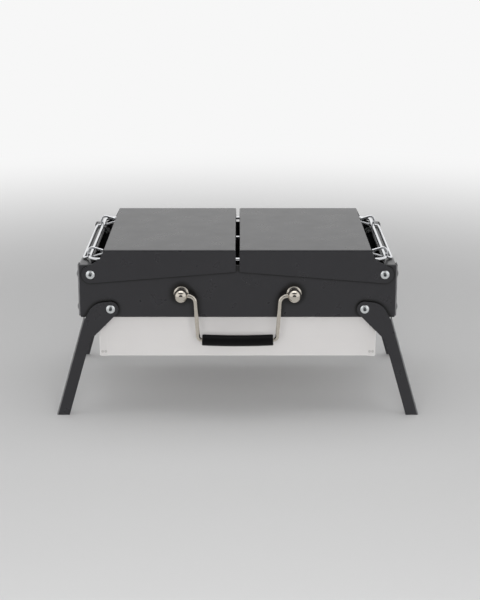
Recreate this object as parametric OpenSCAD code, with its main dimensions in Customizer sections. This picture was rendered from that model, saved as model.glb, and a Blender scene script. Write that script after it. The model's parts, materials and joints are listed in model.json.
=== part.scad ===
// Portable folding grill: a sheet-metal trough with two outward lids, four folding legs,
// a hanging charcoal tray, a wire cooking grate and a bail carry handle.
// X runs along the length, Y to the rear, Z up from the ground. Sizes are in millimetres.

/* [Body] */
// Outside length of the trough
body_w = 430; // [380:1:500]
// Outside depth of the trough
body_d = 270; // [230:1:320]
// Height of the trough's underside above the ground
body_bottom = 139; // [120:1:170]
// Height of the trough's walls
body_h = 73; // [60:1:95]
// Thickness of the painted sheet
sheet = 1; // [0.8:0.1:1.4]
// Outside radius of the sheet's bends
bend_r = 2.5; // [2:0.1:4]
// Width of the long walls' returns round the corners
return_w = 18; // [14:1:26]
// Width of the ledge along the top of each end wall
ledge_w = 17; // [15:0.5:20]
// Width of the hem along the bottom of each end wall
hem_w = 10; // [6:1:16]
// Gap left at the corners where folded sheets meet
fold_gap = 0.5; // [0.2:0.1:1]

/* [Lids] */
// Height of the closed lids above the walls
lid_rise = 21; // [18:0.5:30]
// Gap between the two closed lids
lid_split = 5; // [3:0.5:10]
// Gap between a lid's flange and the wall
lid_gap = 0.5; // [0.3:0.1:1]
// Distance of a lid's pivot in from the trough's end
lid_pivot_inset = 17; // [15:0.5:20]
// Distance of a lid's pivot below the walls' top
lid_pivot_drop = 12.8; // [12:0.1:20]
// Gap between the fully open lid's edge and the trough's end
lid_swing_gap = 2; // [1.5:0.1:8]
// Radius of the flange's rounded end about the pivot
lid_eye_r = 12; // [9:0.5:12]
// Distance of the knee in a lid's end beyond the edge of its top
lid_knee_out = 6.5; // [4:0.5:9]
// Distance of that knee below the lid's top
lid_knee_drop = 13.5; // [10:0.5:16]
// Depth of the flange at the split
lid_flange_h = 30; // [24:0.5:40]
// Depth of the stiffening lip along the split
lid_lip = 10; // [6:0.5:10.5]
// Thickness of the washer between flange and wall
lid_washer_h = 0.4; // [0.2:0.05:0.4]

/* [Rivets] */
// Radius of a pivot rivet's shank
rivet_r = 3; // [2.6:0.1:3.2]
// Radius of a pivot rivet's head
rivet_head_r = 5.9; // [5:0.1:7]
// Height of a pivot rivet's head
rivet_head_h = 2; // [1.5:0.1:3]
// Radius of the hollow in the head
rivet_hollow_r = 2.3; // [1.5:0.1:2.4]
// Depth of the hollow in the head
rivet_hollow_depth = 4.5; // [1:0.1:5.5]
// Radius of a rivet's upset tail
rivet_tail_r = 4.6; // [4:0.1:5.2]
// Height of a rivet's upset tail
rivet_tail_h = 2; // [1.5:0.1:3]
// Radial clearance of the pivots
pivot_clear = 0.05; // [0.02:0.01:0.1]
// Gap between a moving sheet and the rivet head that holds it
head_gap = 0.3; // [0.2:0.05:0.5]
// Radius of a corner rivet's head
corner_head_r = 6; // [4:0.1:6.5]
// Height of a corner rivet's head
corner_head_h = 2.2; // [1.2:0.1:2.6]
// Distance of the corner rivets from the long walls' faces
corner_rivet_y = 9.5; // [8:0.5:12]
// Distance of the corner rivets from the walls' top and bottom
corner_rivet_z = 13.5; // [11:0.5:20]

/* [Legs] */
// Distance of a leg's pivot in from the trough's end
leg_pivot_inset = 43.3; // [40:0.1:50]
// Height of a leg's pivot above the trough's underside
leg_pivot_rise = 12.4; // [11:0.1:16]
// Lean of the open legs from upright
leg_lean = 16.2; // [12:0.1:20]
// Width of a leg
leg_w = 17; // [13:0.5:19]
// Distance from a leg's pivot to its outer edge
leg_reach = 32.2; // [31:0.1:34]
// Thickness of a leg's sheet
leg_sheet = 1.2; // [1:0.1:1.6]
// Depth of the flange bent back along a leg's outer edge
leg_flange_w = 12; // [9:0.5:14]
// Outside radius of a leg's bend
leg_bend_r = 2.2; // [1.8:0.1:3]
// Radius of a leg's plate round its pivot
leg_eye_r = 10.6; // [9:0.1:11]
// Radius of the plate's shoulder behind the pivot
shoulder_r = 23.6; // [20:0.1:24]
// Distance of the shoulder's centre outward from the pivot
shoulder_out = 4.1; // [2:0.1:6]
// Distance of the shoulder's centre down the leg from the pivot
shoulder_down = 15.7; // [14:0.1:18]
// Distance of the knee down the leg from the pivot
knee_down = 50; // [44:0.5:60]
// Radius of the spacer washer behind a leg
spacer_r = 7; // [6:0.1:9]
// Thickness of the spacer washer behind a leg
spacer_h = 1.5; // [1:0.1:2.5]
// Play between a leg and its spacer washer
leg_play = 0.1; // [0.05:0.05:0.3]
// Gap between a leg's flange and the wall that stops it
stop_gap = 0.3; // [0.2:0.1:0.6]

/* [Carry handle] */
// Height of the handle's axis above the trough's underside
handle_axis_rise = 33.7; // [24:0.1:45]
// Distance from the handle's axis down to the ends of the grip
handle_drop = 61.5; // [45:0.1:80]
// Radius of the handle's wire
wire_r = 2.75; // [2:0.05:3]
// Radius of the wire's upper bends
upper_bend_r = 9.5; // [7:0.5:18]
// Radius of the wire's lower bends
lower_bend_r = 5.5; // [5:0.5:9]
// Lean of the bail's arms, which close in towards the grip
bail_lean = 4; // [1:0.5:8]
// Straight wire between an upper bend and its knob
wire_stub = 0.4; // [0.3:0.1:6]
// Length of the grip
grip_l = 96; // [80:1:120]
// Radius of the grip
grip_r = 7.6; // [6:0.05:10]
// Bow of the grip at its middle
grip_bow = 1.2; // [0.8:0.1:4]
// Length of the grip's tapered ends
grip_taper = 1; // [1:0.5:5]
// Step down from the grip's body to its tapered ends
grip_end_step = 0.2; // [0.1:0.05:0.4]
// Gap between the grip and a folded leg
handle_gap = 2.4; // [1.5:0.1:6]

/* [Knobs] */
// Radius of a ball knob
ball_r = 9.4; // [8.5:0.1:11]
// Radius of a knob's domed collar
collar_r = 10; // [8:0.1:11]
// Thickness of a knob's collar at its edge
collar_edge = 1; // [0.6:0.1:1.6]
// Thickness of a knob's collar at its middle
collar_h = 3.2; // [2:0.1:4]
// Radius of a knob's neck
neck_r = 5; // [4:0.1:5.4]
// Radius of a knob's screw
screw_r = 2; // [1.5:0.1:2.5]
// Depth of a screw in its knob
screw_in = 5; // [4:0.1:6]
// Radius of a screw's head
screw_head_r = 4; // [3.2:0.1:5]
// Height of a screw's head
screw_head_h = 2.6; // [2:0.1:3.5]

/* [Charcoal tray] */
// Distance of the tray's long sides in from the trough's faces
tray_inset = 20; // [18:0.5:26]
// Depth of the tray below the trough's underside
tray_drop = 62; // [40:1:80]
// Thickness of the tray's sheet
tray_sheet = 0.8; // [0.6:0.1:1]
// Outside radius of the tray's bends
tray_bend_r = 2; // [1.5:0.1:3]
// Width of the end panels' lapped tabs
tab_w = 11; // [8:0.5:18]
// Gap at each end that lets the tray pass the ledges
tray_slack = 6.5; // [4:0.5:8]
// Overlap of the tray's rim on the floor flange
rim_seat = 7; // [5:0.5:9]
// Gap between the tray and the floor flange's edge
rim_gap = 5; // [4:0.5:6]

/* [Cooking grate] */
// Radius of the grate's frame wire
frame_r = 2.2; // [1.8:0.1:2.6]
// Corner radius of the frame, to the wire's centre
frame_corner_r = 14; // [10:0.5:25]
// Distance of the frame's end wires in from the trough's ends
frame_inset = 15.5; // [15:0.1:17]
// Gap between the frame and the long walls
frame_play = 2; // [1:0.5:4]
// Radius of the cross bars
bar_r = 1.6; // [1.3:0.1:2]
// Pitch of the cross bars
bar_pitch = 14; // [11:0.5:18]
// Least gap between the last bars and the grate handles' hooks
bar_gap = 4; // [2:0.5:8]
// Radius of the support rod under the bars
rod_r = 1.8; // [1.4:0.1:2.2]
// How far the support rod runs past the last bars
rod_past = 3; // [1.5:0.5:5]
// Depth that crossing wires sink into each other where they are welded
weld_sink = 0.4; // [0.2:0.05:0.6]
// Radius of the grate handles' wire
lift_r = 1.7; // [1.4:0.1:1.9]
// Distance between the two hooks of a grate handle
lift_span = 200; // [130:1:215]
// Gap between a grate handle and the ledge it stands on
lift_gap = 0.3; // [0.2:0.1:1]
// Radius of the bends between a grate handle's grip and its feet
lift_corner_r = 3.5; // [2.6:0.1:4]
// Radius of the bend at the foot of a hook
lift_foot_r = 3; // [2.2:0.1:3.5]
// Radius of the bend at the top of a hook
hook_top_r = 6; // [4:0.1:7]
// Radius of the bend at the inner end of a hook
hook_bend_r = 2.6; // [2.1:0.1:3]
// Distance from the end wire in to the middle of a hook's inner bend
hook_in = 14.5; // [12:0.5:17]
// Slope of the two strands of a hook
hook_slope = 17; // [12:0.5:18]
// How far the lower strand of a hook runs out past the end wire's middle
hook_toe = 1.5; // [1:0.1:2]
// Gap between a hook and the end wire that it carries
hook_gap = 0.2; // [0.1:0.05:0.4]

/* [Hidden] */
$fn = 64;
// Small overlap that carries a cut through a face
cut = 1;
// Depth at which a tangent edge ends inside its round, so that the two cross
tangent_sink = 0.05;
// How much fuller than its wire a ball is that joins two stretches of the wire
joint_swell = 0.03;
// How far each of those stretches stops short of the ball's middle
joint_short = 0.05;

// Colours of the finishes
paint = "#3a3b3d";
bright_tray = "#cfcecb";
chrome = "#d9dadc";
zinc = "#c6c7c9";
nickel = "#cbc4b8";
black_grip = "#18181a";

// Body
body_top = body_bottom + body_h;
half_w = body_w / 2;
half_d = body_d / 2;
end_face = half_w - sheet;
wall_inside = half_d - sheet;
floor_flange_w = tray_inset - rim_gap;
end_half_d = half_d - bend_r - fold_gap;
hem_half_d = half_d - floor_flange_w - fold_gap;
ledge_edge = end_face - ledge_w;

// Lids
lid_top = body_top + lid_rise;
lid_y = half_d + lid_gap + sheet;
lid_inner = lid_split / 2;
// The lid turns half round its pivot, so its edge lies as far inside the pivot as it opens outside
lid_outer = half_w - 2 * lid_pivot_inset - lid_swing_gap;
lid_pivot = [half_w - lid_pivot_inset, body_top - lid_pivot_drop];

// Legs
leg_pivot = [half_w - leg_pivot_inset, body_bottom + leg_pivot_rise];
leg_back = half_d + spacer_h + leg_play;
leg_front = leg_back + leg_sheet;
leg_l = (leg_pivot[1] + leg_reach) / cos(leg_lean);
// The flange starts where its outer corner comes just under the wall that stops it
leg_flange_start = (leg_pivot_rise + leg_reach * sin(leg_lean) + stop_gap) / cos(leg_lean);

// Carry handle
handle_z = body_bottom + handle_axis_rise;
handle_y = -(leg_front + handle_gap + grip_r);
grip_half = grip_l / 2;
bow_r = (grip_half * grip_half + grip_bow * grip_bow) / (2 * grip_bow);
bow_angle = asin(grip_half / bow_r);
grip_end_z = handle_z - handle_drop;
bow_centre_z = grip_end_z - grip_bow + bow_r;
taper_angle = grip_taper / bow_r * 180 / PI;
// The bail's right arm, in X and in height from the handle's axis
arm_l = (handle_drop - (upper_bend_r + lower_bend_r) * (1 - sin(bail_lean))) / cos(bail_lean);
arm_low = [grip_half, lower_bend_r - handle_drop] + polar(-bail_lean, lower_bend_r);
arm_high = arm_low + polar(90 - bail_lean, arm_l);
upper_bend_x = arm_high[0] + upper_bend_r * cos(bail_lean);
knob_x = upper_bend_x + wire_stub + ball_r;
// The wire ends this far past the middle of its knob, with half as much room beyond it
wire_past = wire_r / 2;
wire_end_room = wire_past / 2;

// Charcoal tray
tray_half_w = ledge_edge - tray_slack;
tray_half_d = half_d - tray_inset;
pan_half_d = tray_half_d - tray_sheet;
pan_half_w = tray_half_w - tray_bend_r;
tray_bottom = body_bottom - tray_drop;
rim_bottom = body_bottom + sheet;
rim_top = rim_bottom + tray_sheet;
rim_outer = half_d - floor_flange_w + rim_seat;

// Cooking grate
frame_half_w = half_w - frame_inset;
frame_half_d = wall_inside - frame_play - frame_r;
lift_z = body_top + lift_gap + lift_r;
wire_seat = frame_r + hook_gap + lift_r;
// The end wires lie on the lower strands of the hooks, which slope up from their toes
frame_z = lift_z + hook_toe * tan(hook_slope) + wire_seat / cos(hook_slope);
bar_z = frame_z + frame_r + bar_r - weld_sink;
rod_z = bar_z - bar_r - rod_r + weld_sink;
hook_end_x = frame_half_w - hook_in - hook_bend_r - lift_r;
bar_room = hook_end_x - bar_gap - bar_r - bar_pitch / 2;
bars_a_side = floor(bar_room / bar_pitch) + 1;
last_bar_x = (bars_a_side - 1 / 2) * bar_pitch;
// A right hook's points, outward and up from the grip's height under the end wire's middle
toe_end = [hook_toe, 0];
low_strand_l = (hook_in + hook_toe + hook_bend_r * sin(hook_slope)) / cos(hook_slope);
low_strand_end = toe_end + polar(180 - hook_slope, low_strand_l);
hook_bend_centre = low_strand_end + polar(90 - hook_slope, hook_bend_r);
high_strand_end = hook_bend_centre + polar(90 + hook_slope, hook_bend_r);
hook_top_x = wire_seat - hook_top_r;
high_strand_l = (hook_top_x - hook_top_r * sin(hook_slope) - high_strand_end[0]) / cos(hook_slope);
high_strand_start = high_strand_end + polar(hook_slope, high_strand_l);
hook_top_centre = high_strand_start + polar(hook_slope - 90, hook_top_r);
riser_low = [wire_seat, lift_foot_r];
riser_high = [wire_seat, hook_top_centre[1]];
lift_foot_x = wire_seat + lift_foot_r;
lift_x = frame_half_w + lift_foot_x + lift_corner_r;

// The trough's middle stands behind the middle of the whole box, which the handle widens
front_reach = -handle_y + max(ball_r, grip_r);
rear_reach = leg_front + head_gap + rivet_head_h;
centre_y = (front_reach - rear_reach) / 2;

// Point at a distance along a direction
function polar(angle, r) = [r * cos(angle), r * sin(angle)];

// Direction from one point to another
function heading(from, to) = atan2(to[1] - from[1], to[0] - from[0]);

// Point where the tangent from a point ends in a circle, on the side that turns left or right
function tangent_point(from, centre, r, side) =
    let(sunk_r = r - tangent_sink)
    centre + polar(heading(centre, from) + side * acos(sunk_r / norm(centre - from)), sunk_r);

// Place of the whole grill about the middle of its box
module placed() translate([0, centre_y, 0]) children();

module both_ends() {
    children();
    mirror([1, 0, 0]) children();
}

module both_fronts() {
    children();
    mirror([0, 1, 0]) children();
}

// Extrusion of a section in X and Z along Y
module along_y(from, to) translate([0, to, 0]) rotate([90, 0, 0]) linear_extrude(to - from) children();

// Extrusion of a section in Y and Z along X
module along_x(from, to) translate([from, 0, 0]) rotate([90, 0, 90]) linear_extrude(to - from) children();

// Cylinder along Y at a place in X and Z
module bore_y(place, r, from, to) {
    translate([place[0], to, place[1]]) rotate([90, 0, 0]) cylinder(h = to - from, r = r);
}

// Rectangle from one corner to the other
module span(low, high) translate(low) square(high - low);

// Quarter ring of bent sheet, in the quadrant that the signs name
module bend(centre, signs, r, thickness) {
    translate(centre) intersection() {
        difference() {
            circle(r);
            circle(r - thickness);
        }
        span([min(signs[0], 0) * r, min(signs[1], 0) * r], [max(signs[0], 0) * r, max(signs[1], 0) * r]);
    }
}

// Bent round wire in the XY plane, about the origin
module wire_bend(bend_radius, r, from, to) {
    rotate([0, 0, from]) rotate_extrude(angle = to - from) translate([bend_radius, 0]) circle(r);
}

// Angle by which a bend stops short of the ball that joins it to the next stretch
function joint_turn(bend_radius) = asin(joint_short / bend_radius);

// Straight wire from one point to another in the XY plane, short of the balls at its ends
module joined_run(from, to, r) {
    translate(from) rotate([-90, 0, heading(from, to) - 90]) translate([0, 0, joint_short])
        cylinder(h = norm(to - from) - 2 * joint_short, r = r);
}

// Ball that joins two stretches of wire in the XY plane, with its poles along them
module wire_joint(place, turn, r) {
    translate(place) rotate([-90, 0, turn - 90]) sphere(r + joint_swell);
}

// Rivet along Z, with its domed head above the origin and its tail below the sheets it grips
module rivet(gripped, head_r, head_h, hollow_r, hollow_depth) {
    dome_r = (head_r * head_r + head_h * head_h) / (2 * head_h);
    difference() {
        union() {
            rotate_extrude() intersection() {
                translate([0, head_h - dome_r]) circle(dome_r);
                square([head_r, head_h]);
            }
            translate([0, 0, -gripped]) cylinder(h = gripped + head_h / 2, r = rivet_r);
            translate([0, 0, -gripped - rivet_tail_h]) cylinder(h = rivet_tail_h, r = rivet_tail_r);
        }
        if (hollow_r > 0)
            translate([0, 0, head_h - hollow_depth]) cylinder(h = hollow_depth + cut, r = hollow_r);
    }
}

// Hollow rivet that a lid or a leg turns on
module pivot_rivet(gripped) {
    rivet(gripped, rivet_head_r, rivet_head_h, rivet_hollow_r, rivet_hollow_depth);
}

// Long walls

// Section of a long wall: an upright face and the floor flange that carries the tray
module wall_section() {
    span([-half_d, body_bottom + bend_r], [-wall_inside, body_top]);
    span([-half_d + bend_r, body_bottom], [-half_d + floor_flange_w, body_bottom + sheet]);
    bend([-half_d + bend_r, body_bottom + bend_r], [-1, -1], bend_r, sheet);
}

// Plan of the corners that wrap round the end walls
module wall_corners() {
    both_ends() {
        bend([half_w - bend_r, -half_d + bend_r], [1, -1], bend_r, sheet);
        span([end_face, -half_d + bend_r], [half_w, -half_d + return_w]);
    }
}

module corner_rivet_places() {
    for (z = [body_bottom + corner_rivet_z, body_top - corner_rivet_z])
        translate([half_w, -half_d + corner_rivet_y, z]) rotate([0, 90, 0]) children();
}

// Holes for the corner rivets, this deep in from the trough's end
module corner_rivet_holes(depth) {
    corner_rivet_places() translate([0, 0, -depth - cut])
        cylinder(h = depth + 2 * cut, r = rivet_r + pivot_clear);
}

module long_wall(with_knobs) {
    color(paint) difference() {
        union() {
            along_x(-half_w + bend_r, half_w - bend_r) wall_section();
            translate([0, 0, body_bottom + bend_r]) linear_extrude(body_h - bend_r) wall_corners();
        }
        both_ends() {
            bore_y(lid_pivot, rivet_r + pivot_clear, -half_d - cut, -wall_inside + cut);
            bore_y(leg_pivot, rivet_r + pivot_clear, -half_d - cut, -wall_inside + cut);
            if (with_knobs)
                bore_y([knob_x, handle_z], screw_r + pivot_clear, -half_d - cut, -wall_inside + cut);
            corner_rivet_holes(sheet);
        }
    }
}

module front_wall() long_wall(true);

module rear_wall() mirror([0, 1, 0]) long_wall(false);

// End walls

// Section of the right end wall: upright face and top ledge
module end_section() {
    span([end_face - sheet, body_bottom + bend_r], [end_face, body_top - bend_r]);
    bend([end_face - bend_r, body_top - bend_r], [1, 1], bend_r, sheet);
    span([ledge_edge, body_top - sheet], [end_face - bend_r, body_top]);
}

module hem_section() {
    bend([end_face - bend_r, body_bottom + bend_r], [1, -1], bend_r, sheet);
    span([end_face - hem_w, body_bottom], [end_face - bend_r, body_bottom + sheet]);
}

module right_end_wall() {
    color(paint) difference() {
        union() {
            along_y(-end_half_d, end_half_d) end_section();
            along_y(-hem_half_d, hem_half_d) hem_section();
        }
        both_fronts() corner_rivet_holes(2 * sheet);
    }
}

module left_end_wall() mirror([1, 0, 0]) right_end_wall();

module corner_rivets() {
    color(paint) both_ends() both_fronts() corner_rivet_places()
        rivet(2 * sheet, corner_head_r, corner_head_h, 0, 0);
}

// Lids

// Section of a lid across the grill: top panel and two flanges
module lid_section() {
    span([-lid_y + bend_r, lid_top - sheet], [lid_y - bend_r, lid_top]);
    both_ends() {
        bend([lid_y - bend_r, lid_top - bend_r], [1, 1], bend_r, sheet);
        span([lid_y - sheet, body_bottom], [lid_y, lid_top - bend_r]);
    }
}

// Outline of the right lid from the front: sloped lower edge, round eye and an end of two slopes
module lid_outline() {
    top_corner = [lid_outer, lid_top];
    knee = top_corner + [lid_knee_out, -lid_knee_drop];
    split_corner = [lid_inner, lid_top - lid_flange_h];
    translate(lid_pivot) circle(lid_eye_r);
    polygon([
        [lid_inner, lid_top], top_corner, knee, tangent_point(knee, lid_pivot, lid_eye_r, -1),
        lid_pivot, tangent_point(split_corner, lid_pivot, lid_eye_r, 1), split_corner
    ]);
}

// Lip along the split, between the flanges
module lid_lip_section() {
    bend([lid_inner + bend_r, lid_top - bend_r], [-1, 1], bend_r, sheet);
    span([lid_inner, lid_top - lid_lip], [lid_inner + sheet, lid_top - bend_r]);
}

// What rounding the split's edge takes off the top panel
module split_round() {
    difference() {
        span([lid_inner - cut, lid_top - bend_r], [lid_inner + bend_r, lid_top + cut]);
        translate([lid_inner + bend_r, lid_top - bend_r]) circle(bend_r);
    }
}

module right_lid() {
    color(paint) difference() {
        union() {
            intersection() {
                along_x(lid_inner, half_w) lid_section();
                along_y(-lid_y, lid_y) lid_outline();
            }
            along_y(-lid_y + bend_r, lid_y - bend_r) lid_lip_section();
        }
        along_y(-lid_y - cut, lid_y + cut) split_round();
        bore_y(lid_pivot, rivet_r + pivot_clear, -lid_y - cut, lid_y + cut);
    }
}

module left_lid() mirror([1, 0, 0]) right_lid();

module lid_rivets() {
    color(zinc) both_ends() both_fronts()
        translate([lid_pivot[0], -lid_y - head_gap, lid_pivot[1]]) rotate([90, 0, 0])
            pivot_rivet(lid_y + head_gap - wall_inside);
}

// Flat washer against the outside of a long wall
module wall_washer(place, r, height) {
    difference() {
        bore_y(place, r, -half_d - height, -half_d);
        bore_y(place, rivet_r + pivot_clear, -half_d - height - cut, -half_d + cut);
    }
}

module lid_washers() {
    color(zinc) both_ends() both_fronts() wall_washer(lid_pivot, rivet_head_r, lid_washer_h);
}

// Legs

// Section of the flange bent back along a leg's outer edge
module leg_flange_section() {
    bend([leg_reach - leg_bend_r, -leg_front + leg_bend_r], [1, -1], leg_bend_r, leg_sheet);
    span([leg_reach - leg_sheet, -leg_front + leg_bend_r], [leg_reach, -leg_front + leg_flange_w]);
}

// Outline of a leg's plate about its pivot, with the leg pointing straight down
module leg_outline() {
    pivot = [0, 0];
    shoulder = [shoulder_out, -shoulder_down];
    inner = leg_reach - leg_w;
    outer = leg_reach - leg_bend_r;
    knee = [inner, -knee_down];
    flange_top = [outer, -leg_flange_start - leg_sheet];
    crown = heading(pivot, shoulder) + acos((leg_eye_r - shoulder_r) / norm(shoulder));
    circle(leg_eye_r);
    // The shoulder swells only on the outer side of the line from pivot to knee
    intersection() {
        translate(shoulder) circle(shoulder_r);
        rotate(heading(pivot, knee)) span([-2 * shoulder_r, 0], [2 * knee_down, 2 * shoulder_r]);
    }
    polygon([
        pivot, tangent_point(knee, pivot, leg_eye_r, -1), knee, [inner, -leg_l], [outer, -leg_l],
        flange_top, tangent_point(flange_top, shoulder, shoulder_r, 1),
        shoulder + polar(crown, shoulder_r - tangent_sink), polar(crown, leg_eye_r - tangent_sink)
    ]);
}

// Leg about its pivot, pointing straight down and longer than it needs to be
module upright_leg() {
    difference() {
        union() {
            along_y(-leg_front, -leg_back) leg_outline();
            translate([0, 0, -leg_l]) linear_extrude(leg_l - leg_flange_start) leg_flange_section();
        }
        bore_y([0, 0], rivet_r + pivot_clear, -leg_front - cut, -leg_back + cut);
    }
}

module front_right_leg() {
    color(paint) difference() {
        translate([leg_pivot[0], 0, leg_pivot[1]]) rotate([0, -leg_lean, 0]) upright_leg();
        translate([0, -leg_front - cut, -leg_l]) cube([body_w, leg_flange_w + 2 * cut, leg_l]);
    }
}

module front_left_leg() mirror([1, 0, 0]) front_right_leg();

module rear_right_leg() mirror([0, 1, 0]) front_right_leg();

module rear_left_leg() mirror([0, 1, 0]) front_left_leg();

module leg_rivets() {
    color(zinc) both_ends() both_fronts()
        translate([leg_pivot[0], -leg_front - head_gap, leg_pivot[1]]) rotate([90, 0, 0])
            pivot_rivet(leg_front + head_gap - wall_inside);
}

module leg_spacers() {
    color(zinc) both_ends() both_fronts() wall_washer(leg_pivot, spacer_r, spacer_h);
}

// Carry handle

// Domed collar of a knob against the wall
module knob_collar() {
    rise = collar_h - collar_edge;
    dome_r = (collar_r * collar_r + rise * rise) / (2 * rise);
    translate([knob_x, -half_d, handle_z]) rotate([90, 0, 0]) rotate_extrude() intersection() {
        translate([0, collar_h - dome_r]) circle(dome_r);
        square([collar_r, collar_h]);
    }
}

module right_knob() {
    color(nickel) difference() {
        union() {
            translate([knob_x, handle_y, handle_z]) sphere(ball_r);
            bore_y([knob_x, handle_z], neck_r, handle_y, -half_d);
            knob_collar();
        }
        translate([upper_bend_x, handle_y, handle_z]) rotate([0, 90, 0])
            cylinder(h = knob_x + wire_past + wire_end_room - upper_bend_x, r = wire_r + pivot_clear);
        bore_y([knob_x, handle_z], screw_r + pivot_clear, -half_d - screw_in - pivot_clear, -half_d + cut);
    }
}

module left_knob() mirror([1, 0, 0]) right_knob();

module knob_screws() {
    color(zinc) both_ends() {
        bore_y([knob_x, handle_z], screw_r, -half_d - screw_in, -wall_inside);
        bore_y([knob_x, handle_z], screw_head_r, -wall_inside, -wall_inside + screw_head_h);
    }
}

// Right half of the bail from its end in the knob to the end of the grip, with Y up from the handle's axis
module half_bail() {
    translate([upper_bend_x, 0]) rotate([0, 90, 0])
        cylinder(h = knob_x + wire_past - upper_bend_x, r = wire_r);
    translate([upper_bend_x, -upper_bend_r])
        wire_bend(upper_bend_r, wire_r, 90, 180 - bail_lean - joint_turn(upper_bend_r));
    joined_run(arm_low, arm_high, wire_r);
    for (arm_end = [arm_low, arm_high]) wire_joint(arm_end, 90 - bail_lean, wire_r);
    translate([grip_half, lower_bend_r - handle_drop])
        wire_bend(lower_bend_r, wire_r, -90, -bail_lean - joint_turn(lower_bend_r));
}

// Straight wire inside the grip
module grip_core(r, half_l) {
    translate([-half_l, handle_y, grip_end_z]) rotate([0, 90, 0]) cylinder(h = 2 * half_l, r = r);
}

module handle_wire() {
    color(nickel) {
        translate([0, handle_y, handle_z]) rotate([90, 0, 0]) both_ends() half_bail();
        grip_core(wire_r, grip_half);
    }
}

// Bowed body of the grip, between its tapered ends
module grip_body() {
    body_angle = bow_angle - taper_angle;
    translate([0, handle_y, bow_centre_z]) rotate([90, 0, 0])
        wire_bend(bow_r, grip_r, -90 - body_angle, body_angle - 90);
}

// Tapered end of the grip, set into its body by half its own length
module grip_end() {
    seated_l = grip_taper + grip_taper / 2;
    seat_angle = bow_angle - taper_angle - taper_angle / 2;
    base_r = grip_r - grip_end_step;
    translate([bow_r * sin(seat_angle), handle_y, bow_centre_z - bow_r * cos(seat_angle)])
        rotate([0, 90 - seat_angle, 0])
            cylinder(h = seated_l, r1 = base_r, r2 = grip_r - grip_taper / 2);
}

module handle_grip() {
    color(black_grip) difference() {
        union() {
            grip_body();
            both_ends() grip_end();
        }
        grip_core(wire_r + pivot_clear, grip_half + cut);
    }
}

// Charcoal tray

// Front half of the pan's section: floor, wall and outward rim
module pan_half_section() {
    floor_z = tray_bottom + tray_sheet;
    rim_bend_y = -pan_half_d + tray_sheet - tray_bend_r;
    span([-pan_half_d + tray_bend_r, floor_z], [0, floor_z + tray_sheet]);
    bend([-pan_half_d + tray_bend_r, floor_z + tray_bend_r], [-1, -1], tray_bend_r, tray_sheet);
    span([-pan_half_d, floor_z + tray_bend_r], [-pan_half_d + tray_sheet, rim_top - tray_bend_r]);
    bend([rim_bend_y, rim_top - tray_bend_r], [1, 1], tray_bend_r, tray_sheet);
    span([-rim_outer, rim_bottom], [rim_bend_y, rim_top]);
}

module tray_pan() {
    color(bright_tray) along_x(-pan_half_w, pan_half_w) both_ends() pan_half_section();
}

// Plan of an end panel with the tabs that lap the pan's long sides
module tray_end_plan() {
    span([tray_half_w - tray_sheet, 0], [tray_half_w, tray_half_d - tray_bend_r]);
    bend([tray_half_w - tray_bend_r, tray_half_d - tray_bend_r], [1, 1], tray_bend_r, tray_sheet);
    span([tray_half_w - tab_w, pan_half_d], [tray_half_w - tray_bend_r, tray_half_d]);
}

// Section of the tab that laps the pan's floor
module tray_end_floor() {
    bend([tray_half_w - tray_bend_r, tray_bottom + tray_bend_r], [1, -1], tray_bend_r, tray_sheet);
    span([tray_half_w - tab_w, tray_bottom], [tray_half_w - tray_bend_r, tray_bottom + tray_sheet]);
}

module tray_right_end() {
    tab_half_d = pan_half_d - tray_bend_r;
    tab_top = rim_bottom - tray_bend_r;
    color(bright_tray) {
        translate([0, 0, tray_bottom + tray_bend_r])
            linear_extrude(tab_top - tray_bottom - tray_bend_r) both_fronts() tray_end_plan();
        along_y(-tab_half_d, tab_half_d) tray_end_floor();
    }
}

module tray_left_end() mirror([1, 0, 0]) tray_right_end();

// Cooking grate

module grate_frame() {
    straight_x = frame_half_w - frame_corner_r;
    straight_y = frame_half_d - frame_corner_r;
    color(chrome) translate([0, 0, frame_z]) {
        both_fronts() {
            translate([-straight_x, -frame_half_d, 0]) rotate([0, 90, 0])
                cylinder(h = 2 * straight_x, r = frame_r);
            both_ends() translate([straight_x, -straight_y, 0])
                wire_bend(frame_corner_r, frame_r, -90, 0);
        }
        both_ends() translate([frame_half_w, straight_y, 0]) rotate([90, 0, 0])
            cylinder(h = 2 * straight_y, r = frame_r);
    }
}

module grate_bars() {
    bar_half_l = frame_half_d + frame_r / 2;
    color(chrome) both_ends() for (i = [0 : bars_a_side - 1])
        bore_y([(i + 1 / 2) * bar_pitch, bar_z], bar_r, -bar_half_l, bar_half_l);
}

module grate_support_rod() {
    rod_half_l = last_bar_x + rod_past;
    color(chrome) translate([-rod_half_l, 0, rod_z]) rotate([0, 90, 0])
        cylinder(h = 2 * rod_half_l, r = rod_r);
}

// Right hook with Y up: from its foot up past the end wire, in over it and back under it
module lift_hook() {
    foot_turn = joint_turn(lift_foot_r);
    bend_turn = joint_turn(hook_bend_r);
    translate([lift_foot_x, lift_foot_r])
        wire_bend(lift_foot_r, lift_r, 180 + foot_turn, 270 - foot_turn);
    joined_run(riser_low, riser_high, lift_r);
    translate(hook_top_centre)
        wire_bend(hook_top_r, lift_r, joint_turn(hook_top_r), 90 + hook_slope - joint_turn(hook_top_r));
    joined_run(high_strand_start, high_strand_end, lift_r);
    translate(hook_bend_centre)
        wire_bend(hook_bend_r, lift_r, 90 + hook_slope + bend_turn, 270 - hook_slope - bend_turn);
    joined_run(low_strand_end, toe_end, lift_r);
    wire_joint([lift_foot_x, 0], 0, lift_r);
    for (riser_end = [riser_low, riser_high]) wire_joint(riser_end, 90, lift_r);
    for (strand_end = [high_strand_start, high_strand_end]) wire_joint(strand_end, hook_slope, lift_r);
    wire_joint(low_strand_end, -hook_slope, lift_r);
}

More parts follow.
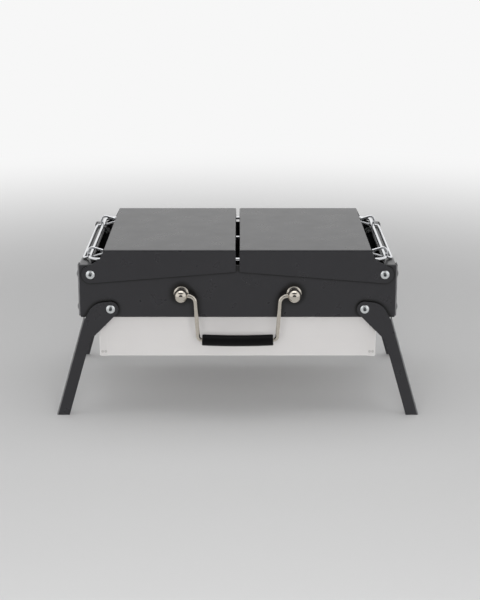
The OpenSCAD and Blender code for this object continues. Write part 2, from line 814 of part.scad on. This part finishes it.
// Front half of the right grate handle: a hook whose foot bends round to the grip
module half_lift() {
    hook_y = -lift_span / 2;
    translate([frame_half_w, hook_y, lift_z]) rotate([90, 0, 0]) lift_hook();
    translate([frame_half_w + lift_foot_x, hook_y + lift_corner_r, lift_z])
        wire_bend(lift_corner_r, lift_r, -90 + joint_turn(lift_corner_r), 0);
    bore_y([lift_x, lift_z], lift_r, hook_y + lift_corner_r, 0);
}

module right_grate_handle() {
    color(chrome) both_fronts() half_lift();
}

module left_grate_handle() mirror([1, 0, 0]) right_grate_handle();

placed() front_wall();
placed() rear_wall();
placed() left_end_wall();
placed() right_end_wall();
placed() corner_rivets();
placed() left_lid();
placed() right_lid();
placed() lid_rivets();
placed() lid_washers();
placed() front_left_leg();
placed() front_right_leg();
placed() rear_left_leg();
placed() rear_right_leg();
placed() leg_rivets();
placed() leg_spacers();
placed() left_knob();
placed() right_knob();
placed() knob_screws();
placed() handle_wire();
placed() handle_grip();
placed() tray_pan();
placed() tray_left_end();
placed() tray_right_end();
placed() grate_frame();
placed() grate_bars();
placed() grate_support_rod();
placed() left_grate_handle();
placed() right_grate_handle();
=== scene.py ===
"""Looks of the portable folding grill: finishes, small detail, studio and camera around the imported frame."""
import json
import math

import bmesh
import bpy
from mathutils import Matrix, Vector

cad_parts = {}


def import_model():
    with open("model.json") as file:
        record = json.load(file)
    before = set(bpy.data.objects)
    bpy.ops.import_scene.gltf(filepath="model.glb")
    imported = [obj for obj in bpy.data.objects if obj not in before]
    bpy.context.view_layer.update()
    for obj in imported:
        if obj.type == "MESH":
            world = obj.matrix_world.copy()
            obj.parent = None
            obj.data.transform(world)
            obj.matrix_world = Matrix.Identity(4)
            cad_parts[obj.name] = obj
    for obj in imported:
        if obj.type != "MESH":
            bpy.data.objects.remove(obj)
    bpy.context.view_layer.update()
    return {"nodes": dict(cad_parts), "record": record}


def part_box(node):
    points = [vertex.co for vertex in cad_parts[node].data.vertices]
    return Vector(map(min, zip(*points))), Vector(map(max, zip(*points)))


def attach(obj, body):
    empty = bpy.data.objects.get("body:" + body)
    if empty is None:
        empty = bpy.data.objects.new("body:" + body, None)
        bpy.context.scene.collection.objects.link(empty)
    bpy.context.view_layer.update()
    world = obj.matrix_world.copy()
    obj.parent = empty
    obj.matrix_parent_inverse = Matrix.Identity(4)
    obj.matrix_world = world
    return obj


# Lengths are in metres, angles in degrees

# Camera, fitted to the photograph's 480 by 600 frame
CAMERA_PLACE = (0.0032, -2.0165, 0.692)
CAMERA_PITCH = 15.62
CAMERA_LENS = 87.2
CAMERA_FAR = 50
SENSOR = 36.0

# Floor that sweeps up into a wall
SWEEP_HALF_WIDTH = 6.0
SWEEP_FRONT = -6.0
SWEEP_WALL = 3.0
SWEEP_R = 1.2
SWEEP_HEIGHT = 4.0
SWEEP_STEPS = 16
# Colours of the floor: lit, as mirrored by the grill, and where it has turned white
FLOOR = (0.62, 0.62, 0.62)
FLOOR_MIRRORED = (0.50, 0.50, 0.50)
FLOOR_WHITE = (0.93, 0.93, 0.93)
FLOOR_ROUGHNESS = 0.9
FLOOR_SPECULAR = 0.1
# Distances from the grill between which the floor turns white
WHITE_RANGE = (0.6, 2.0)

# Soft lamps: place, target, width and height, and power in watts
TOP_LAMP = {"place": (0.0, 0.2, 2.4), "target": (0, 0, 0.1), "size": (2.2, 2.2), "power": 10}
FRONT_LAMP = {"place": (0.0, -2.2, 0.62), "target": (0, 0, 0.12), "size": (1.4, 0.5), "power": 28}

# The room is dark behind the camera, over the front and below, between these parts of a unit direction
DARK_SPOT = (-0.91, -0.78)
DARK_FRONT = (-0.1, -0.5)
DARK_HEIGHT = (0.58, 0.76)
DARK_BELOW = (-0.03, -0.05)
ROOM_DARK = (0.05, 0.05, 0.055)
ROOM_BRIGHT = (1, 1, 1)
ROOM_STRENGTH = 0.83

# Nodes by finish
PAINTED = (
    "front_wall", "rear_wall", "left_end_wall", "right_end_wall", "corner_rivets", "left_lid", "right_lid",
    "front_left_leg", "front_right_leg", "rear_left_leg", "rear_right_leg",
)
TRAY = ("tray_pan", "tray_left_end", "tray_right_end")
CHROMED = ("grate_frame", "grate_bars", "grate_support_rod", "left_grate_handle", "right_grate_handle")
ZINC = ("lid_washers", "leg_spacers", "knob_screws")
# Hollow rivets, each with a joint on one of its axes
RIVETS = {"lid_rivets": "right_lid_hinge", "leg_rivets": "front_right_leg_fold"}
NICKEL = ("left_knob", "right_knob", "handle_wire")
GRIP = ("handle_grip",)

# Noise: the range that most of its values lie in, and its octaves. Every CELLS value counts cells per metre
NOISE_RANGE = (0.3, 0.7)
NOISE_DETAIL = 3.0
SOFT_DETAIL = 2.0
EVEN = (1, 1, 1)
BUMP_STRENGTH = 0.3
# A bend sets in between these products of two parts of the normal
BEND_RANGE = (0.08, 0.30)

# Dark paint: its colours, a painted highlight on bends and its share in patches, a painted shade for narrow
# gaps, gloss, and orange peel
PAINT_DARK = (0.0188, 0.0184, 0.0208)
PAINT_LIGHT = (0.0212, 0.0208, 0.0233)
# Lighter colour that the bends go over to, a painted highlight
PAINT_BEND_HIGHLIGHT = (0.180, 0.180, 0.185)
# Near-black colour for narrow gaps, a painted shade
PAINT_SHADE = (0.002, 0.002, 0.002)
PAINT_SPECULAR = 0.50
PAINT_ROUGHNESS = (0.27, 0.30)
PAINT_HIGHLIGHT_PATCHES = (0.6, 1.0)
PAINT_CLOUD_CELLS = 5
PAINT_HIGHLIGHT_CELLS = 60
PAINT_GLOSS_CELLS = 40
PEEL_CELLS = 500
PEEL_DEPTH = 0.000002
# Reach of the painted shade in narrow gaps, and the openness of a place where it starts and is full
SHADE_REACH = 0.014
SHADE_OPENNESS = (0.985, 0.78)
SHADE_SAMPLES = 32
# Heights between which the painted shade sets in, so that the feet are left undarkened
SHADE_HEIGHT = (0.02, 0.04)

# Bright sheet of the tray, with a painted highlight on its bends, streaks along its length, and its spot welds
STEEL_DARK = (0.660, 0.642, 0.634)
STEEL_LIGHT = (0.700, 0.684, 0.675)
# Lighter colour that the bends go over to, a painted highlight
STEEL_BEND_HIGHLIGHT = (0.84, 0.826, 0.82)
STEEL_METALLIC = 0.15
STEEL_ROUGHNESS = (0.50, 0.58)
STEEL_CLOUD_CELLS = 9
STREAK_CELLS = 400
STREAK_STRETCH = (0.03, 1, 1)
STREAK_DEPTH = 0.000012
SPOT_DARK = (0.49, 0.475, 0.465)
SPOT_LIGHT = (0.53, 0.515, 0.505)
SPOT_ROUGHNESS = (0.40, 0.50)

# Plated wires and fittings
MOTTLE_CELLS = 220
CHROME_DARK = (0.78, 0.79, 0.81)
CHROME_LIGHT = (0.85, 0.86, 0.88)
CHROME_ROUGHNESS = (0.06, 0.11)
ZINC_DARK = (0.90, 0.93, 0.94)
ZINC_LIGHT = (0.94, 0.97, 0.98)
ZINC_ROUGHNESS = (0.20, 0.30)
NICKEL_DARK = (0.72, 0.67, 0.59)
NICKEL_LIGHT = (0.80, 0.75, 0.67)
NICKEL_ROUGHNESS = (0.07, 0.12)
# Painted shade in the hollow rivets: its colour, their bore, and how far from the grill's middle plane the
# hollows start
HOLLOW_SHADE = (0.20, 0.21, 0.215)
HOLLOW_R = 0.0021
HOLLOW_FROM = 0.134

# Black moulded grip
GRIP_DARK = (0.0018, 0.0018, 0.0020)
GRIP_LIGHT = (0.0026, 0.0026, 0.0028)
GRIP_SPECULAR = 0.15
GRIP_ROUGHNESS = (0.36, 0.46)
GRIP_CLOUD_CELLS = 60
GRAIN_CELLS = 900
GRAIN_DEPTH = 0.00003

# Bars of the grate, and half the size of the bead that welds one on a wire
BAR_COUNT = 26
BEAD_SIZE = (0.0021, 0.0024, 0.0007)
BEAD_SUBDIVISIONS = 2
# Spot welds on the tray's tabs: places from the end and from the bottom, and radius and height of each ring
SPOT_INSETS = (0.0045, 0.0088)
SPOT_HEIGHTS = (0.0075, 0.0460)
SPOT_PROFILE = ((0.0005, 0.00002), (0.0011, 0.00004), (0.0015, 0.00016), (0.0018, 0.00014), (0.0020, -0.00002))
SPOT_SIDES = 16


# Shader helpers

def new_material(name):
    """Material with a plain Principled surface, and its tree and shader."""
    material = bpy.data.materials.new(name)
    material.use_nodes = True
    tree = material.node_tree
    shader = tree.nodes["Principled BSDF"]
    return material, tree, shader


def link_math(tree, operation, first, second):
    """Math node on two values, either of them a socket or a number."""
    node = tree.nodes.new("ShaderNodeMath")
    node.operation = operation
    for socket, value in zip(node.inputs, (first, second)):
        if isinstance(value, (int, float)):
            socket.default_value = value
        else:
            tree.links.new(value, socket)
    return node.outputs["Value"]


def hypotenuse(tree, first, second):
    """Root of the sum of two squares."""
    squares = [link_math(tree, "MULTIPLY", part, part) for part in (first, second)]
    return link_math(tree, "SQRT", link_math(tree, "ADD", *squares), 0)


def fade(tree, value, start, stop):
    """Smooth rise from 0 to 1 as a value goes from start to stop."""
    remap = tree.nodes.new("ShaderNodeMapRange")
    remap.interpolation_type = "SMOOTHSTEP"
    remap.inputs["From Min"].default_value = start
    remap.inputs["From Max"].default_value = stop
    tree.links.new(value, remap.inputs["Value"])
    return remap.outputs["Result"]


def coordinate_parts(tree, output):
    """X, Y and Z of a texture coordinate."""
    place = tree.nodes.new("ShaderNodeTexCoord")
    parts = tree.nodes.new("ShaderNodeSeparateXYZ")
    tree.links.new(place.outputs[output], parts.inputs["Vector"])
    return parts.outputs


def stretched_coordinates(tree, stretch):
    """Object coordinates scaled along each axis, so that a pattern can run along one of them."""
    place = tree.nodes.new("ShaderNodeTexCoord")
    mapping = tree.nodes.new("ShaderNodeMapping")
    mapping.inputs["Scale"].default_value = stretch
    tree.links.new(place.outputs["Object"], mapping.inputs["Vector"])
    return mapping.outputs["Vector"]


def noise(tree, cells, detail=NOISE_DETAIL, stretch=EVEN):
    """Noise value with its scale in cells per metre."""
    texture = tree.nodes.new("ShaderNodeTexNoise")
    texture.inputs["Scale"].default_value = cells
    texture.inputs["Detail"].default_value = detail
    tree.links.new(stretched_coordinates(tree, stretch), texture.inputs["Vector"])
    return texture.outputs["Fac"]


def spread(tree, value, low, high):
    """Noise value remapped from its usual range to low and high."""
    remap = tree.nodes.new("ShaderNodeMapRange")
    remap.inputs["From Min"].default_value = NOISE_RANGE[0]
    remap.inputs["From Max"].default_value = NOISE_RANGE[1]
    remap.inputs["To Min"].default_value = low
    remap.inputs["To Max"].default_value = high
    tree.links.new(value, remap.inputs["Value"])
    return remap.outputs["Result"]


def tint(tree, value, dark, light):
    """Colour between dark and light by a noise value."""
    ramp = tree.nodes.new("ShaderNodeValToRGB")
    for element, position, colour in zip(ramp.color_ramp.elements, NOISE_RANGE, (dark, light)):
        element.position = position
        element.color = (*colour, 1)
    tree.links.new(value, ramp.inputs["Fac"])
    return ramp.outputs["Color"]


def bump(tree, shader, value, depth):
    """Bump of the given depth on the shader's normal."""
    node = tree.nodes.new("ShaderNodeBump")
    node.inputs["Distance"].default_value = depth
    node.inputs["Strength"].default_value = BUMP_STRENGTH
    tree.links.new(value, node.inputs["Height"])
    tree.links.new(node.outputs["Normal"], shader.inputs["Normal"])


def go_over(tree, colour, other, share):
    """Colour, a socket or a fixed one, that goes over to a fixed one by a share."""
    mix = tree.nodes.new("ShaderNodeMix")
    mix.data_type = "RGBA"
    tree.links.new(share, mix.inputs["Factor"])
    if isinstance(colour, tuple):
        mix.inputs["A"].default_value = (*colour, 1)
    else:
        tree.links.new(colour, mix.inputs["A"])
    mix.inputs["B"].default_value = (*other, 1)
    return mix.outputs["Result"]


# Shares of a surface

def bend_share(tree, first, second):
    """1 on bends between faces that are square to two axes, and 0 on the faces."""
    normal = coordinate_parts(tree, "Normal")
    sides = [link_math(tree, "ABSOLUTE", normal[axis], 0) for axis in (first, second)]
    return fade(tree, link_math(tree, "MULTIPLY", *sides), *BEND_RANGE)


def painted_shade_share(tree):
    """Share of painted shade: 1 in narrow gaps between sheets, and 0 on open faces and at the feet."""
    openness = tree.nodes.new("ShaderNodeAmbientOcclusion")
    openness.samples = SHADE_SAMPLES
    openness.inputs["Distance"].default_value = SHADE_REACH
    gaps = fade(tree, openness.outputs["AO"], *SHADE_OPENNESS)
    above_feet = fade(tree, coordinate_parts(tree, "Object")["Z"], *SHADE_HEIGHT)
    return link_math(tree, "MULTIPLY", gaps, above_feet)


def hollow_shade_share(tree, axis, middle_y):
    """Share of painted shade: 1 in the hollows of rivets, round an axis along Y and its mirror images, and 0
    elsewhere.
    """
    place = coordinate_parts(tree, "Object")
    along = link_math(tree, "SUBTRACT", link_math(tree, "ABSOLUTE", place["X"], 0), abs(axis[0]))
    up = link_math(tree, "SUBTRACT", place["Z"], axis[2])
    depth = link_math(tree, "ABSOLUTE", link_math(tree, "SUBTRACT", place["Y"], middle_y), 0)
    inside = link_math(tree, "LESS_THAN", hypotenuse(tree, along, up), HOLLOW_R)
    outer = link_math(tree, "GREATER_THAN", depth, HOLLOW_FROM)
    return link_math(tree, "MULTIPLY", inside, outer)


# Finishes

def dark_paint():
    """Satin dark grey paint with a fine orange peel, a painted highlight in patches on its bends, and painted
    shade in narrow gaps along its seams.
    """
    material, tree, shader = new_material("dark_paint")
    shader.inputs["Specular IOR Level"].default_value = PAINT_SPECULAR
    clouds = tint(tree, noise(tree, PAINT_CLOUD_CELLS, SOFT_DETAIL), PAINT_DARK, PAINT_LIGHT)
    patches = spread(tree, noise(tree, PAINT_HIGHLIGHT_CELLS), *PAINT_HIGHLIGHT_PATCHES)
    # Painted highlight: the bends go lighter in noisy patches
    bend_highlight = link_math(tree, "MULTIPLY", bend_share(tree, "X", "Y"), patches)
    highlighted = go_over(tree, clouds, PAINT_BEND_HIGHLIGHT, bend_highlight)
    # Painted shade: the colour goes near-black in narrow gaps
    tree.links.new(go_over(tree, highlighted, PAINT_SHADE, painted_shade_share(tree)), shader.inputs["Base Color"])
    gloss = spread(tree, noise(tree, PAINT_GLOSS_CELLS), *PAINT_ROUGHNESS)
    tree.links.new(gloss, shader.inputs["Roughness"])
    bump(tree, shader, noise(tree, PEEL_CELLS, SOFT_DETAIL), PEEL_DEPTH)
    return material


def bright_sheet():
    """Bright rolled steel sheet with a painted highlight on its bends and faint streaks along its length."""
    material, tree, shader = new_material("bright_tray")
    shader.inputs["Metallic"].default_value = STEEL_METALLIC
    clouds = tint(tree, noise(tree, STEEL_CLOUD_CELLS), STEEL_DARK, STEEL_LIGHT)
    # Painted highlight: the bends are lighter
    bends = link_math(tree, "MAXIMUM", bend_share(tree, "X", "Y"), bend_share(tree, "Y", "Z"))
    tree.links.new(go_over(tree, clouds, STEEL_BEND_HIGHLIGHT, bends), shader.inputs["Base Color"])
    streaks = noise(tree, STREAK_CELLS, NOISE_DETAIL, STREAK_STRETCH)
    tree.links.new(spread(tree, streaks, *STEEL_ROUGHNESS), shader.inputs["Roughness"])
    bump(tree, shader, streaks, STREAK_DEPTH)
    return material


def mottled_metal(name, dark, light, roughness, metallic=1.0):
    """Plated wire or fitting, or a weld: metal with a faint mottle in colour and polish."""
    material, tree, shader = new_material(name)
    shader.inputs["Metallic"].default_value = metallic
    mottle = noise(tree, MOTTLE_CELLS)
    tree.links.new(tint(tree, mottle, dark, light), shader.inputs["Base Color"])
    tree.links.new(spread(tree, mottle, *roughness), shader.inputs["Roughness"])
    return material


def hollow_rivets(name, axis, middle_y):
    """Bright rivets with painted shade in their hollows."""
    material = mottled_metal(name, ZINC_DARK, ZINC_LIGHT, ZINC_ROUGHNESS)
    tree = material.node_tree
    colour = tree.nodes["Principled BSDF"].inputs["Base Color"]
    bright = colour.links[0].from_socket
    # Painted shade: the colour goes dark grey in the hollows
    tree.links.new(go_over(tree, bright, HOLLOW_SHADE, hollow_shade_share(tree, axis, middle_y)), colour)
    return material


def black_rubber():
    """Smooth black moulded grip with a fine grain."""
    material, tree, shader = new_material("black_grip")
    shader.inputs["Specular IOR Level"].default_value = GRIP_SPECULAR
    clouds = tint(tree, noise(tree, GRIP_CLOUD_CELLS, SOFT_DETAIL), GRIP_DARK, GRIP_LIGHT)
    tree.links.new(clouds, shader.inputs["Base Color"])
    grain = noise(tree, GRAIN_CELLS)
    tree.links.new(spread(tree, grain, *GRIP_ROUGHNESS), shader.inputs["Roughness"])
    bump(tree, shader, grain, GRAIN_DEPTH)
    return material


# Small pieces

def new_object(name, data):
    """Object with the given data, in the scene."""
    obj = bpy.data.objects.new(name, data)
    bpy.context.scene.collection.objects.link(obj)
    return obj


def joined_mesh(name, shapes, material):
    """One object from a list of bmesh-making functions."""
    build = bmesh.new()
    for shape in shapes:
        shape(build)
    mesh = bpy.data.meshes.new(name)
    build.to_mesh(mesh)
    build.free()
    mesh.shade_smooth()
    mesh.materials.append(material)
    return new_object(name, mesh)


def weld_bead(place):
    """Flash squeezed out where a bar is welded on a wire."""
    def make(build):
        flat = Matrix.Translation(place) @ Matrix.Diagonal((*BEAD_SIZE, 1))
        bmesh.ops.create_icosphere(build, subdivisions=BEAD_SUBDIVISIONS, radius=1, matrix=flat)
    return make


def grate_welds(material):
    """Beads at each crossing of the grate's bars with its frame and its middle rod."""
    bars_low, bars_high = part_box("grate_bars")
    frame_low, frame_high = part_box("grate_frame")
    rod_low, rod_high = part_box("grate_support_rod")
    bar_r = (bars_high[2] - bars_low[2]) / 2
    frame_r = (frame_high[2] - frame_low[2]) / 2
    first, last = bars_low[0] + bar_r, bars_high[0] - bar_r
    wires = (frame_low[1] + frame_r, (rod_low[1] + rod_high[1]) / 2, frame_high[1] - frame_r)
    top = (frame_high[2] + bars_low[2]) / 2
    beads = []
    for i in range(BAR_COUNT):
        x = first + (last - first) * i / (BAR_COUNT - 1)
        beads += [weld_bead((x, y, top)) for y in wires]
    return joined_mesh("grate_welds", beads, material)


def spot_ring(build, place, outward, radius, height):
    """Ring of points round a spot weld, at a height over a face that is square to Y."""
    ring = []
    for i in range(SPOT_SIDES):
        turn = 2 * math.pi * i / SPOT_SIDES
        x, z = radius * math.cos(turn), radius * math.sin(turn)
        ring.append(build.verts.new((place[0] + x, place[1] + outward * height, place[2] + z)))
    return ring


def spot_mark(place, outward):
    """Shallow dished mark of a spot weld, with a low rim, that faces along Y."""
    def make(build):
        rings = [spot_ring(build, place, outward, *step) for step in SPOT_PROFILE]
        for inner, outer in zip(rings, rings[1:]):
            for i in range(SPOT_SIDES):
                following = (i + 1) % SPOT_SIDES
                build.faces.new((inner[i], inner[following], outer[following], outer[i]))
        build.faces.new(rings[0])
        build.faces.new(rings[-1])
        bmesh.ops.recalc_face_normals(build, faces=build.faces)
    return make


def tray_welds(material):
    """Spot welds that hold the tabs of the tray's ends on its pan."""
    marks = []
    for name, side in (("tray_left_end", -1), ("tray_right_end", 1)):
        low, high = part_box(name)
        outer_x = low[0] if side < 0 else high[0]
        for face_y, outward in ((low[1], -1), (high[1], 1)):
            for inset in SPOT_INSETS:
                for height in SPOT_HEIGHTS:
                    place = (outer_x - side * inset, face_y, low[2] + height)
                    marks.append(spot_mark(place, outward))
    return joined_mesh("tray_spot_welds", marks, material)


def small_pieces(nodes):
    """Welds of the grate and the tray, which ride on the trough."""
    welds = grate_welds(nodes["grate_bars"].data.materials[0])
    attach(welds, "trough")
    spot_finish = mottled_metal("tray_spot_welds", SPOT_DARK, SPOT_LIGHT, SPOT_ROUGHNESS, STEEL_METALLIC)
    spots = tray_welds(spot_finish)
    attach(spots, "trough")


# Frame pieces

def finish_nodes(nodes, names, material):
    """Give one material to the named nodes."""
    for name in names:
        mesh = nodes[name].data
        mesh.materials.clear()
        mesh.materials.append(material)


def finish_rivets(nodes, record):
    """Hollow rivets, with painted shade round the axes of the joints that they carry."""
    joints = {joint["name"]: joint for joint in record["behaviour"]["joints"]}
    lid_low, lid_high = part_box("left_lid")
    middle_y = (lid_low[1] + lid_high[1]) / 2
    for name, joint in RIVETS.items():
        finish_nodes(nodes, (name,), hollow_rivets(name, joints[joint]["pos_m"], middle_y))


def finish_frame(nodes, record):
    """Give every node of the frame its finish."""
    finish_nodes(nodes, PAINTED, dark_paint())
    finish_nodes(nodes, TRAY, bright_sheet())
    finish_nodes(nodes, CHROMED, mottled_metal("chrome_wire", CHROME_DARK, CHROME_LIGHT, CHROME_ROUGHNESS))
    finish_nodes(nodes, ZINC, mottled_metal("zinc", ZINC_DARK, ZINC_LIGHT, ZINC_ROUGHNESS))
    finish_rivets(nodes, record)
    finish_nodes(nodes, NICKEL, mottled_metal("nickel", NICKEL_DARK, NICKEL_LIGHT, NICKEL_ROUGHNESS))
    finish_nodes(nodes, GRIP, black_rubber())


# Studio

def studio_floor():
    """Pale floor that takes shadows, and turns white round the grill without lighting it."""
    material, tree, shader = new_material("studio_floor")
    shader.inputs["Base Color"].default_value = (*FLOOR, 1)
    shader.inputs["Roughness"].default_value = FLOOR_ROUGHNESS
    shader.inputs["Specular IOR Level"].default_value = FLOOR_SPECULAR
    glow = tree.nodes.new("ShaderNodeEmission")
    rays = tree.nodes.new("ShaderNodeLightPath").outputs
    place = coordinate_parts(tree, "Object")
    around = fade(tree, hypotenuse(tree, place["X"], place["Y"]), *WHITE_RANGE)
    behind = fade(tree, place["Y"], *WHITE_RANGE)
    white = link_math(tree, "MAXIMUM", rays["Is Camera Ray"], behind)
    tree.links.new(go_over(tree, FLOOR_MIRRORED, FLOOR_WHITE, white), glow.inputs["Color"])
    mirrored = link_math(tree, "MAXIMUM", rays["Is Glossy Ray"], rays["Is Transmission Ray"])
    seen = link_math(tree, "MULTIPLY", rays["Is Camera Ray"], around)
    mix = tree.nodes.new("ShaderNodeMixShader")
    tree.links.new(link_math(tree, "MAXIMUM", seen, mirrored), mix.inputs["Fac"])
    tree.links.new(shader.outputs["BSDF"], mix.inputs[1])
    tree.links.new(glow.outputs["Emission"], mix.inputs[2])
    tree.links.new(mix.outputs["Shader"], tree.nodes["Material Output"].inputs["Surface"])
    return material


def sweep_profile():
    """Y and Z along the floor, the sweep and the wall."""
    foot = SWEEP_WALL - SWEEP_R
    profile = [(SWEEP_FRONT, 0.0), (foot, 0.0)]
    for i in range(1, SWEEP_STEPS + 1):
        turn = math.pi / 2 * i / SWEEP_STEPS
        profile.append((foot + SWEEP_R * math.sin(turn), SWEEP_R - SWEEP_R * math.cos(turn)))
    profile.append((SWEEP_WALL, SWEEP_HEIGHT))
    return profile


def backdrop():
    """Pale floor that sweeps up into a wall behind the grill."""
    profile = sweep_profile()
    points = [(x, y, z) for y, z in profile for x in (-SWEEP_HALF_WIDTH, SWEEP_HALF_WIDTH)]
    faces = [(2 * i, 2 * i + 1, 2 * i + 3, 2 * i + 2) for i in range(len(profile) - 1)]
    mesh = bpy.data.meshes.new("backdrop")
    mesh.from_pydata(points, [], faces)
    mesh.shade_smooth()
    mesh.materials.append(studio_floor())
    obj = new_object("backdrop", mesh)


def softbox(name, place, target, size, power):
    """Soft lamp of a width and height that faces a target."""
    lamp = bpy.data.lights.new(name, "AREA")
    lamp.shape = "RECTANGLE"
    lamp.size, lamp.size_y = size
    lamp.energy = power
    obj = new_object(name, lamp)
    obj.location = place
    obj.rotation_euler = (Vector(target) - Vector(place)).to_track_quat("-Z", "Y").to_euler()
    return obj


def dark_share(tree):
    """1 in the dark parts of the room, and 0 elsewhere and for the camera itself."""
    direction = coordinate_parts(tree, "Generated")
    spot = link_math(tree, "SUBTRACT", 1, fade(tree, direction["Y"], *DARK_SPOT))
    front = fade(tree, direction["Y"], *DARK_FRONT)
    above = fade(tree, direction["Z"], *DARK_HEIGHT)
    below = fade(tree, direction["Z"], *DARK_BELOW)
    dark = link_math(tree, "MAXIMUM", spot, link_math(tree, "MULTIPLY", front, above))
    dark = link_math(tree, "MAXIMUM", dark, below)
    camera_ray = tree.nodes.new("ShaderNodeLightPath").outputs["Is Camera Ray"]
    return link_math(tree, "MULTIPLY", dark, link_math(tree, "SUBTRACT", 1, camera_ray))


def surroundings():
    """Bright room with dark parts, which the camera itself sees as bright."""
    world = bpy.data.worlds.new("studio")
    bpy.context.scene.world = world
    world.use_nodes = True
    tree = world.node_tree
    light = tree.nodes["Background"]
    tree.links.new(go_over(tree, ROOM_BRIGHT, ROOM_DARK, dark_share(tree)), light.inputs["Color"])
    light.inputs["Strength"].default_value = ROOM_STRENGTH


def camera():
    """The photograph's camera."""
    lens = bpy.data.cameras.new("camera")
    lens.lens = CAMERA_LENS
    lens.sensor_width = SENSOR
    lens.clip_end = CAMERA_FAR
    obj = new_object("camera", lens)
    obj.location = CAMERA_PLACE
    obj.rotation_euler = (math.radians(90 - CAMERA_PITCH), 0, 0)
    bpy.context.scene.camera = obj


def studio():
    """Camera, floor, room and lamps."""
    bpy.context.scene.view_settings.view_transform = "Standard"
    camera()
    backdrop()
    surroundings()
    softbox("top", **TOP_LAMP)
    front = softbox("front", **FRONT_LAMP)
    front.visible_glossy = False


def main():
    """Load the frame, set up the studio, and dress the grill."""
    bpy.ops.wm.read_factory_settings(use_empty=True)
    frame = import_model()
    studio()
    finish_frame(frame["nodes"], frame["record"])
    small_pieces(frame["nodes"])


main()
